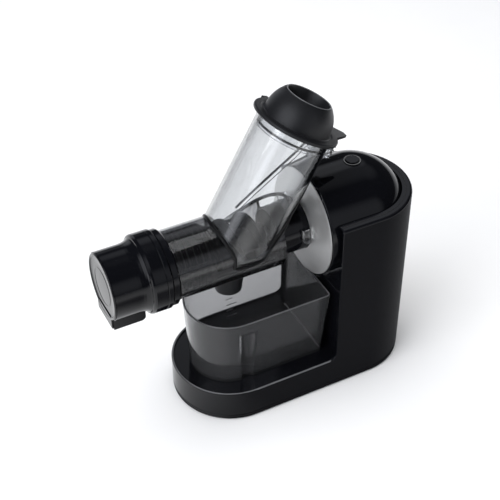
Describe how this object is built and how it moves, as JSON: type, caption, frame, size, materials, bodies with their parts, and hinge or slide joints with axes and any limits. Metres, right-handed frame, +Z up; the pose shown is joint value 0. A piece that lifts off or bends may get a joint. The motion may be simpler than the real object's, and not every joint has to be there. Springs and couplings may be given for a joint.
{
  "type": "cold press juicer",
  "caption": "Lying cold press juicer: rounded motor tower, clear screw drum with a slanting feed tube and pusher, pulp cap, juice spout and a smoky jug on its tray.",
  "frame": {"origin": "middle of the base's footprint, on the table under the rubber feet", "axes": "+Z up, +X along the screw towards the motor tower, -Y towards the user"},
  "size_m": [0.3878, 0.144, 0.3955],
  "materials": {
    "gloss_black": "high gloss moulded plastic",
    "satin_black": "satin moulded plastic",
    "clear": "clear polished plastic",
    "smoky_clear": "smoky clear plastic",
    "steel": "spun and brushed",
    "shaft_steel": "ground",
    "mesh_steel": "fine etched mesh",
    "dark_rubber": "soft matt",
    "gear_plastic": "natural gear plastic",
    "motor_iron": "laminated stack",
    "can_metal": "zinc plated sheet",
    "board_green": "lacquered board",
    "lamp_white": "light guide"
  },
  "bodies": {
    "base": {"outer_wrap": "gloss_black", "base_plate": "satin_black", "rubber_foot": "dark_rubber", "base_screw": "shaft_steel", "deck_tray": "gloss_black", "front_panel": "gloss_black", "core_dome": "gloss_black", "steel_ring": "steel", "neck_socket": "satin_black", "mains_inlet": "dark_rubber", "button_bezel": "gloss_black", "button_light": "lamp_white", "button_guide": "satin_black", "gear_case": "satin_black", "shaft_bearing": "shaft_steel", "motor_mount": "can_metal", "motor_can": "can_metal", "stator": "motor_iron", "motor_bearing": "shaft_steel", "control_board": "board_green", "safety_switch": "satin_black"},
    "button": {"power_button": "gloss_black"},
    "rotor_body": {"rotor": "motor_iron", "motor_fan": "satin_black", "motor_pinion": "shaft_steel"},
    "reduction": {"reduction_gear": "gear_plastic", "reduction_pinion": "shaft_steel"},
    "output": {"output_gear": "gear_plastic", "drive_shaft": "shaft_steel"},
    "screw": {"auger": "satin_black", "auger_shaft": "shaft_steel"},
    "drum_body": {"drum": "clear", "feed_tube": "clear", "tube_keyway": "clear", "drum_neck": "gloss_black", "bayonet_lug": "clear", "rear_bush": "dark_rubber", "front_spider": "satin_black", "filter_frame": "satin_black", "filter_mesh": "mesh_steel", "drum_collar": "gloss_black", "juice_spout": "satin_black", "drum_latch": "satin_black"},
    "cap": {"pulp_cap": "gloss_black", "end_cover": "gloss_black"},
    "pusher": {"pusher_cap": "satin_black", "pusher_plug": "clear", "pusher_seal": "dark_rubber"},
    "jug_body": {"jug": "smoky_clear", "jug_mark": "lamp_white"}
  },
  "joints": [
    {"name": "screw_spin", "type": "hinge", "parent": "base", "child": "screw", "pos_m": [0, 0, 0.214], "axis": [1, 0, 0], "continuous": true},
    {"name": "output_spin", "type": "hinge", "parent": "base", "child": "output", "pos_m": [0, 0, 0.214], "axis": [1, 0, 0], "continuous": true},
    {"name": "reduction_spin", "type": "hinge", "parent": "base", "child": "reduction", "pos_m": [0, 0, 0.169], "axis": [1, 0, 0], "continuous": true},
    {"name": "rotor_spin", "type": "hinge", "parent": "base", "child": "rotor_body", "pos_m": [0, 0, 0.1285], "axis": [1, 0, 0], "continuous": true},
    {"name": "drum_twist", "type": "hinge", "parent": "base", "child": "drum_body", "pos_m": [0, 0, 0.214], "axis": [1, 0, 0], "range_deg": [0, 30]},
    {"name": "cap_twist", "type": "hinge", "parent": "drum_body", "child": "cap", "pos_m": [0, 0, 0.214], "axis": [1, 0, 0], "range_deg": [0, 35]},
    {"name": "pusher_lift", "type": "slide", "parent": "drum_body", "child": "pusher", "axis": [0.4894, 0, 0.8721], "range_m": [0, 0.08]},
    {"name": "jug_pull", "type": "slide", "parent": "base", "child": "jug_body", "axis": [-0.994, 0, 0.1093], "range_m": [0, 0.15]},
    {"name": "power_press", "type": "slide", "parent": "base", "child": "button", "axis": [0, 0, -1], "range_m": [0, 0.0025], "stiffness_N_per_m": 400}
  ],
  "couplings": [
    {"joint": "output_spin", "follows": "screw_spin", "ratio": 1},
    {"joint": "reduction_spin", "follows": "screw_spin", "ratio": -4},
    {"joint": "rotor_spin", "follows": "screw_spin", "ratio": 14}
  ]
}
